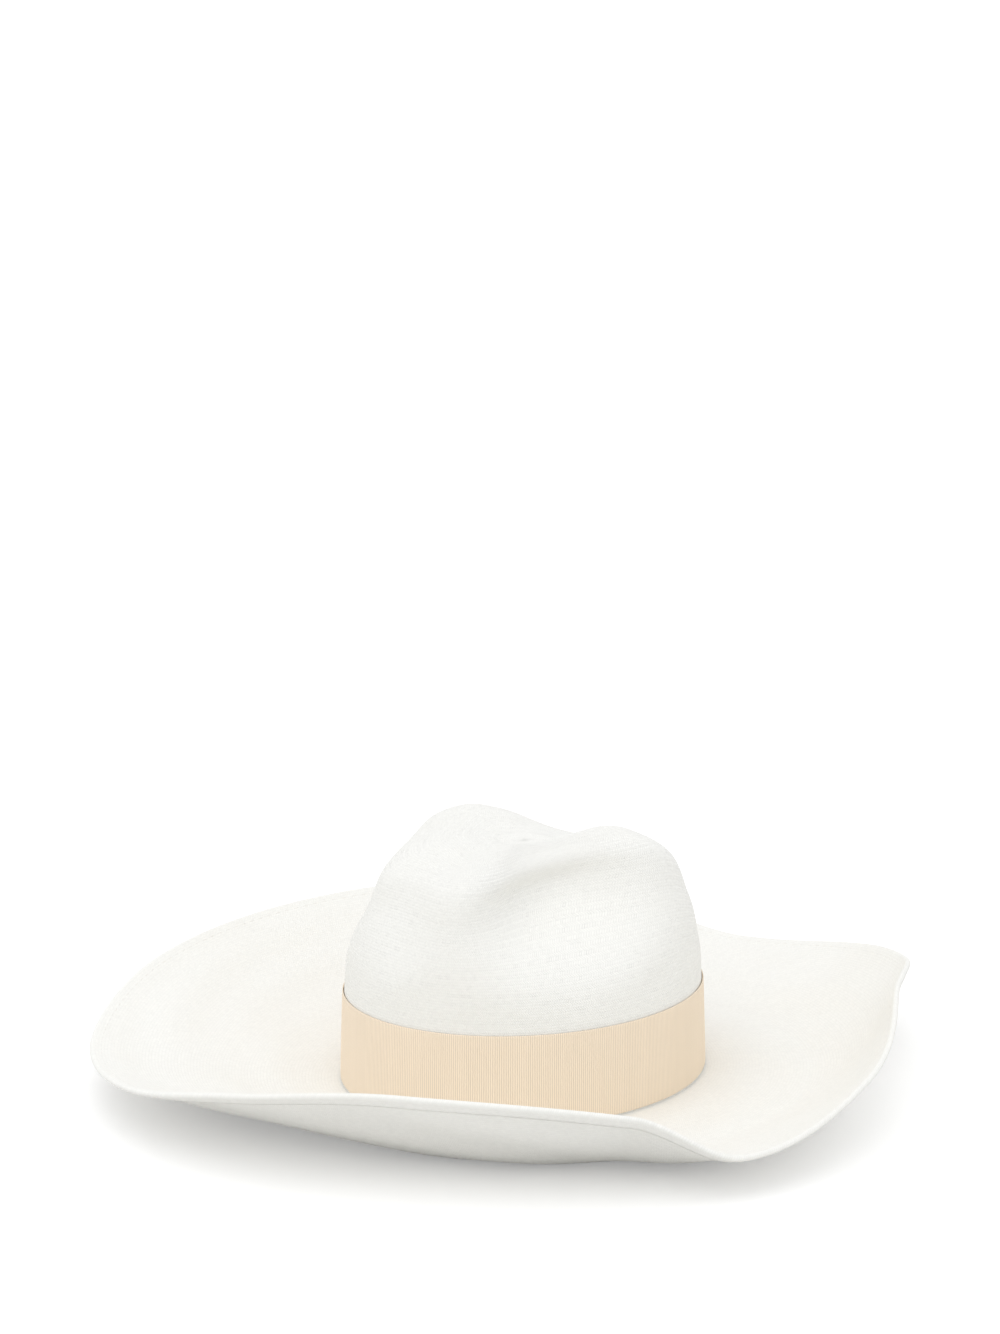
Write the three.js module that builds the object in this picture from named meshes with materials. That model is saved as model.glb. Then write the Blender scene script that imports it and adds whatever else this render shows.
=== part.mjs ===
// Wide-brim panama hat: woven straw hood, wired and stitched brim hem, grosgrain hatband with a flat
// side bow, and the sewn-in sweatband. Millimetres, +Z up, front of the hat towards -Y, wearer's left
// towards +X. The flat part of the brim round the head opening rests on z = 0.
import * as THREE from 'three';
import { mergeVertices } from 'three/addons/utils/BufferGeometryUtils.js';

// ---- driving dimensions -------------------------------------------------------------------------
const HEAD_HALF_WIDTH = 85.8;      // straw at the crown base, side to side, to mid-thickness
const HEAD_HALF_LENGTH = 97.8;     // the same, front to back
const STRAW = 1;                   // thickness of the woven straw
const BRIM_WIDTH = 126;            // from the crown base to the edge, measured along the straw
const BRIM_FLAT = 30.5;            // mean width of the flat part round the crown
const BRIM_FLAT_SWING = 24.5;      // the flat part is this much wider towards BRIM_FLAT_SIDE
const BRIM_FLAT_SIDE = 17;         // degrees
const BRIM_CURL_POWER = 0.54;      // below 1 the brim turns up early and then evens out
const BREAK_RADIUS = 1.5;          // bend between brim and crown
// How far the edge of the brim is turned up, in degrees, by direction: three rolls and three dips.
const BRIM_CURL = [[-167, 27], [-142, 18], [-114, 23], [-92, 38], [-67, 53], [-37, 49], [-24, 24],
  [-2, 46], [23, 79], [53, 50], [93, 16], [123, 39], [153, 36]];

const CROWN_HEIGHT = 128.5;
// Open crown before it is creased: share of the head oval, and height.
const CROWN_PROFILE = [[1, 0], [0.992, 24], [0.984, 46], [0.965, 74], [0.905, 100], [0.815, 118],
  [0.59, 125.5], [0.35, 128], [0, CROWN_HEIGHT]];
const CROWN_TOP_FROM = 35;         // slopes of the top fade in between these heights
const CROWN_TOP_TO = 120;
const PEAK_Y = 14;                 // the ridges are highest here
const FRONT_FALL = 10;
const FRONT_FALL_END = -75;
const BACK_FALL = 26;
const BACK_FALL_END = 90;
const PINCH_HEIGHT = 109;
const PINCH_ABOVE = 20;            // how far a pinch reaches above and below its deepest point
const PINCH_BELOW = 28;
const PINCHES = [                  // turn is measured from the front, in degrees
  { turn: 62, depth: 40, spread: 28 },
  { turn: -14, depth: 9, spread: 22 },
  { turn: -72, depth: 15, spread: 26 },
];
const DENT = { depth: 12, halfWidth: 28, front: -20, back: 54 };
const GROOVE = { depth: 4, halfWidth: 11 };

const HEM_FOLD = 0.9;              // radius of the turned edge, to mid-thickness
const HEM_WIDTH = 6;
const HEM_STITCH_INSET = 3.8;
const WIRE_RADIUS = 0.25;
const THREAD_RADIUS = 0.3;
const GAP = 0.35;                  // clearance between neighbouring pieces

const BAND_BOTTOM = 2.2;
const BAND_TOP = 46;
const RIBBON = 0.6;                // thickness of the hatband ribbon
const BOW_RIBBON = 0.5;
const BOW_SIDE = 174;              // direction of the bow's knot, on the wearer's right
const BOW_LOOP = 47;
const BOW_TAIL = 54;
const KNOT_WIDTH = 17;

const SWEAT_BOTTOM = 2;
const SWEAT_TOP = 34;
const SWEAT = 0.8;
const WALL_BEND = 24.7;            // the profile of the crown's wall bends at this height
const AROUND = 60;                 // steps round the hat

// ---- numbers ------------------------------------------------------------------------------------
const { cos, sin, abs, exp, hypot, min, max, PI } = Math;
const rad = (degrees) => degrees * PI / 180;
const clamp = (x, low, high) => min(max(x, low), high);
const mix = (a, b, t) => a + (b - a) * t;
const range = (n) => [...Array(n).keys()];
const bell = (x, power) => exp(-(abs(x) ** power));

function smooth(x, from, to) {
  const t = clamp((x - from) / (to - from), 0, 1);
  return t * t * (3 - 2 * t);
}

function turnBetween(a, b) {
  return ((a - b + 540) % 360 + 360) % 360 - 180;
}

// Smooth curve through [direction, value] stations that closes on itself after a full turn.
function roundCurve(stations, direction) {
  const n = stations.length;
  const at = (i) => {
    const lap = Math.floor(i / n);
    const [angle, value] = stations[i - lap * n];
    return [angle + 360 * lap, value];
  };
  const start = stations[0][0];
  const angle = ((direction - start) % 360 + 360) % 360 + start;
  let i = 0;
  while (at(i + 1)[0] <= angle) i += 1;
  const [before, from, to, after] = [at(i - 1), at(i), at(i + 1), at(i + 2)];
  const span = to[0] - from[0];
  const t = (angle - from[0]) / span;
  const slopeFrom = span * (to[1] - before[1]) / (to[0] - before[0]);
  const slopeTo = span * (after[1] - from[1]) / (after[0] - from[0]);
  return from[1] * (2 * t ** 3 - 3 * t ** 2 + 1) + slopeFrom * (t ** 3 - 2 * t ** 2 + t)
    + to[1] * (3 * t ** 2 - 2 * t ** 3) + slopeTo * (t ** 3 - t ** 2);
}

// ---- the shape of the straw, at mid-thickness ---------------------------------------------------
// Point of the head oval whose outward normal has the given direction.
function headPoint(direction) {
  const [c, s] = [cos(rad(direction)), sin(rad(direction))];
  const reach = hypot(HEAD_HALF_WIDTH * c, HEAD_HALF_LENGTH * s);
  return { x: HEAD_HALF_WIDTH ** 2 * c / reach, y: HEAD_HALF_LENGTH ** 2 * s / reach, c, s };
}

const openCrown = new THREE.SplineCurve(CROWN_PROFILE.map(([share, z]) => new THREE.Vector2(share, z)));

// rise runs from 0 at the crown base to 1 at the middle of the top
function crownPoint(direction, rise) {
  const head = headPoint(direction);
  const open = openCrown.getPoint(rise);
  let x = head.x * open.x;
  let y = head.y * open.x;
  let z = open.y;
  let pushX = 0;
  let pushY = 0;
  for (const pinch of PINCHES) {
    const middle = -90 + pinch.turn;
    const lift = z - PINCH_HEIGHT;
    const depth = pinch.depth * bell(turnBetween(direction, middle) / pinch.spread, 2.1)
      * bell(lift / (lift > 0 ? PINCH_ABOVE : PINCH_BELOW), 2.2) * smooth(hypot(x, y), 5, 55);
    pushX -= cos(rad(middle)) * depth;
    pushY -= sin(rad(middle)) * depth;
  }
  const fall = FRONT_FALL * smooth(-y, -PEAK_Y, -FRONT_FALL_END)
    + BACK_FALL * smooth(y, PEAK_Y, BACK_FALL_END);
  z -= fall * smooth(z, CROWN_TOP_FROM, CROWN_TOP_TO);
  x += pushX;
  y += pushY;
  const top = smooth(rise, 0.6, 0.8);
  const length = smooth(y, DENT.front - 20, DENT.front + 30)
    * (1 - smooth(y, DENT.back - 34, DENT.back + 20));
  z -= DENT.depth * bell(x / DENT.halfWidth, 2.8) * length * top;
  z -= GROOVE.depth * bell(x / GROOVE.halfWidth, 2) * smooth(y, -75, -45) * (1 - length)
    * smooth(-y, -20, 0) * top;
  return new THREE.Vector3(x, y, z + STRAW / 2);
}

// Rings of the brim from the crown base outwards, one point for each of the given distances along
// the straw, with the unit vector that points out of the upper face.
function brimLine(direction, distances) {
  const head = headPoint(direction);
  const flat = BRIM_FLAT + BRIM_FLAT_SWING * cos(rad(direction - BRIM_FLAT_SIDE));
  const curl = rad(roundCurve(BRIM_CURL, direction));
  const slopeAt = (s) => curl * clamp((s - flat) / (BRIM_WIDTH - flat), 0, 1) ** BRIM_CURL_POWER;
  let [s, out, up] = [0, 0, 0];
  return distances.map((distance) => {
    const steps = max(1, Math.ceil((distance - s) / 0.5));
    const step = (distance - s) / steps;
    for (let i = 0; i < steps; i += 1) {
      const slope = slopeAt(s + step / 2);
      out += step * cos(slope);
      up += step * sin(slope);
      s += step;
    }
    const slope = slopeAt(s);
    return {
      point: new THREE.Vector3(head.x + head.c * out, head.y + head.s * out, up + STRAW / 2),
      up: new THREE.Vector3(-head.c * sin(slope), -head.s * sin(slope), cos(slope)),
      along: new THREE.Vector3(head.c * cos(slope), head.s * cos(slope), sin(slope)),
    };
  });
}

// Share of the head oval at a height on the crown's side wall.
function wallShare(z) {
  const i = CROWN_PROFILE.findIndex(([, height]) => height > z);
  const [[a, za], [b, zb]] = [CROWN_PROFILE[i - 1], CROWN_PROFILE[i]];
  return mix(a, b, (z - za) / (zb - za));
}

// Point beside the crown's wall: out is measured from the middle of the straw.
function wallPoint(direction, z, out) {
  const head = headPoint(direction);
  const share = wallShare(z - STRAW / 2);
  return new THREE.Vector3(head.x * share + head.c * out, head.y * share + head.s * out, z);
}

// ---- solids -------------------------------------------------------------------------------------
// Joins a row of equal closed loops into one closed body; "round" joins the last loop to the first.
function loft(loops, round) {
  const size = loops[0].length;
  const corner = (i, j) => (i % loops.length) * size + (j % size);
  let faces = [];
  for (const i of range(round ? loops.length : loops.length - 1)) {
    for (const j of range(size)) {
      const [a, b, c, d] = [corner(i, j), corner(i + 1, j), corner(i + 1, j + 1), corner(i, j + 1)];
      faces.push([a, b, c], [a, c, d]);
    }
  }
  if (!round) {
    for (const j of range(size - 2)) {
      faces.push([corner(0, 0), corner(0, j + 1), corner(0, j + 2)]);
      const end = loops.length - 1;
      faces.push([corner(end, 0), corner(end, j + 2), corner(end, j + 1)]);
    }
  }
  const points = loops.flat();
  const volume = faces.reduce((sum, [a, b, c]) => {
    const normal = new THREE.Vector3().crossVectors(points[b], points[c]);
    return sum + points[a].dot(normal);
  }, 0);
  if (volume < 0) faces = faces.map(([a, b, c]) => [a, c, b]);
  const geometry = new THREE.BufferGeometry().setFromPoints(points);
  geometry.setIndex(faces.flat());
  const merged = mergeVertices(geometry, 1e-4);
  const index = merged.getIndex().array;
  const kept = [];
  for (let i = 0; i < index.length; i += 3) {
    const [a, b, c] = [index[i], index[i + 1], index[i + 2]];
    if (a !== b && b !== c && c !== a) kept.push(a, b, c);
  }
  merged.setIndex(kept);
  merged.computeVertexNormals();
  return merged;
}

const directions = range(AROUND).map((i) => 360 * i / AROUND);

// A ring round the crown's wall, with a flat section between two heights and two offsets.
function wallRing(heights, inner, outer) {
  return loft(directions.map((direction) => [
    ...heights.map((z) => wallPoint(direction, z, outer)),
    ...heights.toReversed().map((z) => wallPoint(direction, z, inner)),
  ]), true);
}

// A thin round ring whose centre line and section plane come from place(direction).
function threadRing(place, radius, sides) {
  return loft(directions.map((direction) => {
    const { point, along, up } = place(direction);
    return range(sides).map((i) => {
      const turn = 2 * PI * i / sides;
      return point.clone().addScaledVector(along, radius * cos(turn)).addScaledVector(up, radius * sin(turn));
    });
  }), true);
}

// ---- straw hood ---------------------------------------------------------------------------------
const CROWN_ROWS = 15;
const CROWN_LOWEST_RISE = 0.25;    // the straight wall starts below this
const BRIM_ROWS = 8;
const EDGE = BRIM_WIDTH - HEM_FOLD;

function hemGap(inset) {
  return mix(2 * HEM_FOLD, STRAW + GAP, clamp(inset / HEM_WIDTH, 0, 1));
}

function hoodLine(direction) {
  const line = range(CROWN_ROWS).map((row) => {
    return crownPoint(direction, mix(1, CROWN_LOWEST_RISE, row / (CROWN_ROWS - 1)));
  });
  line.push(wallPoint(direction, WALL_BEND, 0));
  const wall = wallPoint(direction, BREAK_RADIUS + STRAW / 2, 0);
  const head = headPoint(direction);
  for (const turn of [0, PI / 4, PI / 2]) {
    const out = BREAK_RADIUS * (1 - cos(turn));
    line.push(new THREE.Vector3(wall.x + head.c * out, wall.y + head.s * out,
      STRAW / 2 + BREAK_RADIUS * (1 - sin(turn))));
  }
  const insets = [HEM_WIDTH, HEM_WIDTH / 2];
  const steps = range(BRIM_ROWS).map((row) => (row + 1) * (EDGE - HEM_WIDTH) / (BRIM_ROWS + 1));
  const brim = brimLine(direction, [...steps, ...insets.map((inset) => EDGE - inset), EDGE]);
  line.push(...brim.map(({ point }) => point));
  const edge = brim.at(-1);
  for (const turn of [60, 120, 180]) {
    const fold = edge.point.clone().addScaledVector(edge.along, HEM_FOLD * sin(rad(turn)));
    line.push(fold.addScaledVector(edge.up, HEM_FOLD * (cos(rad(turn)) - 1)));
  }
  const underneath = brim.slice(-1 - insets.length, -1).reverse();
  underneath.forEach(({ point, up }, i) => {
    line.push(point.clone().addScaledVector(up, -hemGap(insets.at(-1 - i))));
  });
  return line;
}

function strawHood() {
  const lines = directions.map(hoodLine);
  const rows = lines[0].length;
  const skins = lines.map((line, i) => {
    const [before, after] = [lines.at(i - 1), lines[(i + 1) % AROUND]];
    const [upper, lower] = [[], []];
    line.forEach((point, row) => {
      const across = after[row].clone().sub(before[row]);
      const along = line[min(row + 1, rows - 1)].clone().sub(line[max(row - 1, 0)]);
      const normal = row === 0 ? new THREE.Vector3(0, 0, 1) : along.cross(across).normalize();
      upper.push(point.clone().addScaledVector(normal, STRAW / 2));
      lower.push(point.clone().addScaledVector(normal, -STRAW / 2));
    });
    return [...upper, ...lower.reverse()];
  });
  return loft(skins, true);
}

// ---- brim edge ----------------------------------------------------------------------------------
const edgeWire = () => threadRing((direction) => {
  const edge = brimLine(direction, [EDGE])[0];
  return { ...edge, point: edge.point.clone().addScaledVector(edge.up, -HEM_FOLD) };
}, WIRE_RADIUS, 5);

const hemThread = () => threadRing((direction) => {
  const seam = brimLine(direction, [EDGE - HEM_STITCH_INSET])[0];
  const drop = hemGap(HEM_STITCH_INSET) + STRAW / 2 + GAP + THREAD_RADIUS;
  return { ...seam, point: seam.point.clone().addScaledVector(seam.up, -drop) };
}, THREAD_RADIUS, 4);

// ---- hatband and bow ----------------------------------------------------------------------------
const BAND_IN = STRAW / 2 + GAP;
const BAND_OUT = BAND_IN + RIBBON;
const KNOT_IN = BAND_OUT + GAP;
const TAIL_IN = KNOT_IN + BOW_RIBBON + GAP;
const LOOP_IN = TAIL_IN + BOW_RIBBON + GAP;
const LOOP_TIGHT = 0.7;            // between the two layers of a loop under the knot
const LOOP_FULL = 2.6;             // and at its rounded end
const KNOT_OUT = LOOP_IN + 2 * BOW_RIBBON + LOOP_TIGHT + GAP;

const SIDE_CURVE = 0.97 * HEAD_HALF_LENGTH ** 2 / HEAD_HALF_WIDTH;   // radius of the crown's flat side

// Direction on the wall that lies the given distance from the bow's knot, towards the back.
function bowDirection(distance) {
  return BOW_SIDE - distance / SIDE_CURVE * 180 / PI;
}

// A ribbon standing on edge between two heights, along a route of [distance, out] points.
function bowRibbon(route, bottom, top, round) {
  const half = BOW_RIBBON / 2;
  const loops = route.map(([distance, out], i) => {
    const before = route.at(round ? i - 1 : max(i - 1, 0));
    const after = route[round ? (i + 1) % route.length : min(i + 1, route.length - 1)];
    const [ds, dout] = [after[0] - before[0], after[1] - before[1]];
    const [s, o] = [-dout / hypot(ds, dout) * half, ds / hypot(ds, dout) * half];
    const side = (k, z) => wallPoint(bowDirection(distance + k * s), z, out + k * o);
    return [side(1, bottom), side(1, top), side(-1, top), side(-1, bottom)];
  });
  return loft(loops, round);
}

function bowLoop(side) {
  const near = LOOP_IN + BOW_RIBBON / 2;
  const start = 1.2;
  const route = [[start, near]];
  for (const share of [0.2, 0.4, 0.6, 0.8, 0.95]) route.push([BOW_LOOP * share, near]);
  const middle = near + (LOOP_FULL + BOW_RIBBON) / 2;
  for (const turn of [-60, -20, 20, 60]) {
    const bend = (LOOP_FULL + BOW_RIBBON) / 2;
    route.push([BOW_LOOP - bend + 1 + bend * cos(rad(turn)), middle + bend * sin(rad(turn))]);
  }
  const full = near + LOOP_FULL + BOW_RIBBON;
  const tight = near + LOOP_TIGHT + BOW_RIBBON;
  route.push([BOW_LOOP * 0.8, full + 0.4], [BOW_LOOP * 0.6, full + 0.2]);
  route.push([BOW_LOOP * 0.4, mix(tight, full, 0.7)]);
  route.push([KNOT_WIDTH / 2, tight], [start, tight]);
  return bowRibbon(route.map(([s, out]) => [s * side, out]), BAND_BOTTOM, BAND_TOP - 1, true);
}

function bowTails() {
  const route = range(13).map((i) => [mix(-BOW_TAIL, BOW_TAIL, i / 12), TAIL_IN + BOW_RIBBON / 2]);
  return bowRibbon(route, BAND_BOTTOM, BAND_TOP - 2, false);
}

// The knot: a short ribbon wrapped upright round the middle of the bow.
function bowKnot() {
  const [low, high] = [BAND_BOTTOM - 0.6, BAND_TOP + 0.6];
  const [inside, outside] = [KNOT_IN, KNOT_OUT + BOW_RIBBON];
  const across = [-1, -0.33, 0.33, 1].map((share) => share * KNOT_WIDTH / 2);
  const corners = (inset) => [[low + inset, inside + inset], [high - inset, inside + inset],
    [high - inset, outside - inset], [low + inset, outside - inset]];
  const inner = corners(BOW_RIBBON);
  const loops = corners(0).map(([z, out], i) => [
    ...across.map((s) => wallPoint(bowDirection(s), z, out)),
    ...across.toReversed().map((s) => wallPoint(bowDirection(s), ...inner[i])),
  ]);
  return loft(loops, true);
}

// A short bar of thread that tacks the bow to the crown.
function tack(distance, z) {
  const out = LOOP_IN;
  const [low, high] = [z - THREAD_RADIUS, z + THREAD_RADIUS];
  const bar = [-2.5, 2.5].map((end) => {
    const s = distance + end;
    return [[low, out], [high, out], [high, out + 0.5], [low, out + 0.5]]
      .map(([height, away]) => wallPoint(bowDirection(s), height, away));
  });
  return loft(bar, false);
}

// ---- sweatband ----------------------------------------------------------------------------------
const SWEAT_OUT = -STRAW / 2 - GAP;
const SWEAT_IN = SWEAT_OUT - SWEAT;

const sweatThread = () => threadRing((direction) => ({
  point: wallPoint(direction, SWEAT_BOTTOM + 3, SWEAT_IN - GAP - THREAD_RADIUS),
  along: new THREE.Vector3(cos(rad(direction)), sin(rad(direction)), 0),
  up: new THREE.Vector3(0, 0, 1),
}), THREAD_RADIUS, 5);

// A flat patch on the inside of the sweatband, between two directions and two heights.
function innerPatch(from, to, bottom, top, out, thickness) {
  const loops = range(5).map((i) => {
    const direction = mix(from, to, i / 4);
    return [wallPoint(direction, bottom, out), wallPoint(direction, top, out),
      wallPoint(direction, top, out - thickness), wallPoint(direction, bottom, out - thickness)];
  });
  return loft(loops, false);
}

// ---- materials and assembly ---------------------------------------------------------------------
const material = (color, roughness) => new THREE.MeshStandardMaterial({ color, roughness, metalness: 0 });
const straw = material(0xf1efe6, 0.75);
const grosgrain = material(0xe9d3b4, 0.6);
const cotton = material(0xf0ece2, 0.85);
const thread = material(0xf4f1e8, 0.7);
const wire = new THREE.MeshStandardMaterial({ color: 0xb9bcc0, roughness: 0.35, metalness: 1 });

const hat = new THREE.Group();
function add(name, geometry, look) {
  const mesh = new THREE.Mesh(geometry, look);
  mesh.name = name;
  hat.add(mesh);
}

add('straw_hood', strawHood(), straw);
add('brim_edge_wire', edgeWire(), wire);
add('hem_stitching', hemThread(), thread);
add('hatband', wallRing([BAND_BOTTOM, WALL_BEND, BAND_TOP], BAND_IN, BAND_OUT), grosgrain);
add('bow_tails', bowTails(), grosgrain);
add('bow_loop_front', bowLoop(-1), grosgrain);
add('bow_loop_back', bowLoop(1), grosgrain);
add('bow_knot', bowKnot(), grosgrain);
add('bow_tack_front', tack(-BOW_TAIL + 4, BAND_TOP - 6), thread);
add('bow_tack_back', tack(BOW_TAIL - 4, BAND_TOP - 6), thread);
add('sweatband', wallRing([SWEAT_BOTTOM, WALL_BEND, SWEAT_TOP], SWEAT_IN, SWEAT_OUT), cotton);
add('sweatband_stitching', sweatThread(), thread);
add('sweatband_seam_tape', innerPatch(88, 95, SWEAT_BOTTOM + 5, SWEAT_TOP - 1, SWEAT_IN - GAP, 0.5), cotton);
add('size_label', innerPatch(70, 80, 11, 25, SWEAT_IN - GAP, 0.4), cotton);

// The origin is under the middle of the whole hat, so the head opening sits a little off it.
const box = new THREE.Box3().setFromObject(hat);
hat.position.set(-(box.min.x + box.max.x) / 2, -(box.min.y + box.max.y) / 2, -box.min.z);

export default hat;
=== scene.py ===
# The looks of a wide-brim panama hat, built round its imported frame. The front is towards -Y and
# the wearer's left towards +X. Shapes are worked out in millimetres from the middle of the head
# opening, with the same formulas as the CAD part, and are placed in metres.
import math

import bpy
import numpy as np
from mathutils import Matrix, Vector


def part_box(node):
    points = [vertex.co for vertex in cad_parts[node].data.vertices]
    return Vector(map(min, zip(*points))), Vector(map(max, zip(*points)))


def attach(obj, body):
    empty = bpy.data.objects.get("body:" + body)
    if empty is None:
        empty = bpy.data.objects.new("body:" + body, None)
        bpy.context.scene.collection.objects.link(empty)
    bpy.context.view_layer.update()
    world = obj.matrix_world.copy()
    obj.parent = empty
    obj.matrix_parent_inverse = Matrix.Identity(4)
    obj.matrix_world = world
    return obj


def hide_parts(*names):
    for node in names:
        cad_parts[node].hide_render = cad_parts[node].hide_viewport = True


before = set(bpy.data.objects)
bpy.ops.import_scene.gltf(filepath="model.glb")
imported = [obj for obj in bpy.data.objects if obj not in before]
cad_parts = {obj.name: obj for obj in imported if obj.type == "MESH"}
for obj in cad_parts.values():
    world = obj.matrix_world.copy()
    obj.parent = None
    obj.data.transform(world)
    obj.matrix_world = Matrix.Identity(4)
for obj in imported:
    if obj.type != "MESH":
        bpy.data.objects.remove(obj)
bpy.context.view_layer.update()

MM = 0.001

# ---- the straw: the CAD part's driving dimensions, in millimetres and degrees 
HEAD_HALF_WIDTH = 85.8
HEAD_HALF_LENGTH = 97.8
STRAW = 1                     # thickness
BRIM_WIDTH = 126              # along the straw
BRIM_FLAT = 30.5              # how much of the brim lies flat, more on one side than the other
BRIM_FLAT_SWING = 24.5
BRIM_FLAT_SIDE = 17
BRIM_CURL_POWER = 0.54        # under 1, the brim turns up early and then straightens
BREAK_RADIUS = 1.5            # between crown and brim
# how far the brim's edge is turned up, by direction
BRIM_CURL = [(-167, 27), (-142, 18), (-114, 23), (-92, 38), (-67, 53), (-37, 49), (-24, 24),
             (-2, 46), (23, 79), (53, 50), (93, 16), (123, 39), (153, 36)]
CROWN_HEIGHT = 128.5
# the crown before it is creased: shares of the head oval, and heights
CROWN_PROFILE = [(1, 0), (0.992, 24), (0.984, 46), (0.965, 74), (0.905, 100), (0.815, 118),
                 (0.59, 125.5), (0.35, 128), (0, CROWN_HEIGHT)]
CROWN_TOP_FROM, CROWN_TOP_TO = 35, 120
PEAK_Y = 14
FRONT_FALL, FRONT_FALL_END = 10, -75
BACK_FALL, BACK_FALL_END = 26, 90
PINCH_HEIGHT, PINCH_ABOVE, PINCH_BELOW = 109, 20, 28
PINCHES = [{"turn": 62, "depth": 40, "spread": 28}, {"turn": -14, "depth": 9, "spread": 22},
           {"turn": -72, "depth": 15, "spread": 26}]
DENT_DEPTH, DENT_HALF_WIDTH, DENT_FRONT, DENT_BACK = 12, 28, -20, 54
GROOVE_DEPTH, GROOVE_HALF_WIDTH = 4, 11

# ---- hem, ribbons and sweatband ----------------------------------------------
HEM_FOLD = 0.9
HEM_WIDTH = 6
HEM_STITCH_INSET = 3.8
WIRE_RADIUS = 0.25
GAP = 0.35                    # between pieces that lie on each other
BAND_BOTTOM, BAND_TOP = 2.2, 46
RIBBON = 0.6
BOW_RIBBON = 0.5
BOW_SIDE = 174                # direction of the knot
BOW_LOOP = 47                 # from the knot's middle to the end of a loop
BOW_TAIL = 54
KNOT_WIDTH = 17
KNOT_PAST = 0.6               # how far the knot stands past the band, above and below
LOOP_TIGHT, LOOP_FULL = 0.7, 2.6    # how far a loop is open, at the knot and at its end
SWEAT_BOTTOM, SWEAT_TOP = 2, 34
SWEAT = 0.8
SWEAT_SEAM = 3                # the stitches, above the sweatband's lower edge
TAPE_FROM, TAPE_TO = 88, 95   # directions of the tape over the sweatband's seam
TAPE = 0.5
LABEL_FROM, LABEL_TO = 70, 80
LABEL_BOTTOM, LABEL_TOP = 11, 25
LABEL = 0.4

# ---- how far each layer lies out from the middle of the crown's straw --------
BAND_IN = STRAW / 2 + GAP
BAND_OUT = BAND_IN + RIBBON
KNOT_IN = BAND_OUT + GAP
TAIL_IN = KNOT_IN + BOW_RIBBON + GAP
LOOP_IN = TAIL_IN + BOW_RIBBON + GAP
KNOT_OUT = LOOP_IN + 2 * BOW_RIBBON + LOOP_TIGHT + GAP
SWEAT_OUT = -STRAW / 2 - GAP
SWEAT_IN = SWEAT_OUT - SWEAT

EDGE = BRIM_WIDTH - HEM_FOLD  # where the hem's fold begins, along the straw from the crown

# ---- the fine surface --------------------------------------------------------
WEAVE_ROW = 1.6               # height of one row of slanted straws
WEAVE_STEP = 1.15             # from one straw to the next along a row
WEAVE_LAP = 8                 # rows between the rings where straws are added
LAP_RISE = 0.03               # extra straw, on each face, where they are added
CROWN_SWAY, BRIM_SWAY = 0.2, 0.35   # the unevenness of handmade straw
SPLIT_HEIGHT = 20             # crown and brim are two meshes that meet under the hatband
RIB = 1.05                    # grosgrain, from rib to rib
RIB_DEPTH = 0.12
RIB_STEPS = 6                 # sections of a ribbon for each rib
WARP = 0.42                   # from one warp thread of the ribbon to the next
LOOP_PINCH = 0.45             # how much flatter a loop of the bow is at its upper and lower edges
KNOT_DRAWN_IN = 0.2           # share of its width that the knot loses at its middle
KNOT_PLEAT = 0.28
TAIL_NOTCH = 5
HEM_STITCH, HEM_STITCH_PITCH, HEM_THREAD = 4.2, 6.2, 0.26
SWEAT_STITCH, SWEAT_STITCH_PITCH, SWEAT_THREAD = 2.6, 3.6, 0.24
TACK_STITCH, TACK_SPACING, TACK_THREAD = 4.4, 0.55, 0.3
TACK_FROM_END, TACK_FROM_TOP = 4, 6
STITCH_BED = 0.3              # how deep a stitch lies in the cloth, as a share of its radius
WEB_PITCH, LABEL_PITCH = 0.7, 0.45  # from thread to thread of the plain weaves

# ---- colours -----------------------------------------------------------------
STRAW_LIGHT, STRAW_AGED = (0.945, 0.94, 0.895), (0.925, 0.91, 0.85)
RIBBON_LIGHT, RIBBON_DARK = (0.93, 0.785, 0.61), (0.89, 0.75, 0.575)
WEB_COLOR, LABEL_COLOR = (0.84, 0.81, 0.73), (0.92, 0.91, 0.88)
THREAD_LIGHT, THREAD_DARK = (0.93, 0.92, 0.88), (0.86, 0.84, 0.78)
STEEL_LIGHT, STEEL_DARK = (0.6, 0.61, 0.62), (0.5, 0.5, 0.5)

# ---- camera and studio -------------------------------------------------------
VIEW_AZIMUTH, VIEW_ELEVATION = 36, 18.2   # the camera, seen from the middle of the head opening
VIEW_DISTANCE = 1.525         # metres
VIEW_PAN, VIEW_TILT = 0.465, -7.592       # it looks above the hat, which sits low in the picture
VIEW_ROLL = -0.117
LENS = 81.14
SKY = (0.94, 0.95, 0.98)      # the white surroundings, a little cool
SKY_SEEN = 1.2                # their strength where the camera sees them, which makes them white
KEY = 9                       # watts of the soft lamp overhead
KEY_SIZE = 1.8                # metres
KEY_PLACE = (0.1, -0.8, 1.9)  # metres from the middle of the head opening
FLOOR = (0.86, 0.855, 0.84)
FLOOR_GLOW = 0.25             # the seen floor is lit a little from below, up to pure white
FLOOR_SIZE = 60               # metres
FLOOR_DROP = 0.1              # keeps the floor just clear of the straw

band_low, band_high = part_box("hatband")
CENTRE = Vector(((band_low.x + band_high.x) / 2, (band_low.y + band_high.y) / 2,
                 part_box("straw_hood")[0].z))


# ---- numbers -----------------------------------------------------------------
def smooth(x, start, end):
    t = np.clip((x - start) / (end - start), 0, 1)
    return t * t * (3 - 2 * t)


def bell(x, power):
    return np.exp(-np.abs(x) ** power)


def turn_between(a, b):
    return (a - b + 180) % 360 - 180


def unit(vectors):
    return vectors / np.linalg.norm(vectors, axis=-1, keepdims=True)


def hermite(t, start, slope_start, end, slope_end):
    return (start * (2 * t**3 - 3 * t**2 + 1) + slope_start * (t**3 - 2 * t**2 + t)
            + end * (3 * t**2 - 2 * t**3) + slope_end * (t**3 - t**2))


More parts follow.
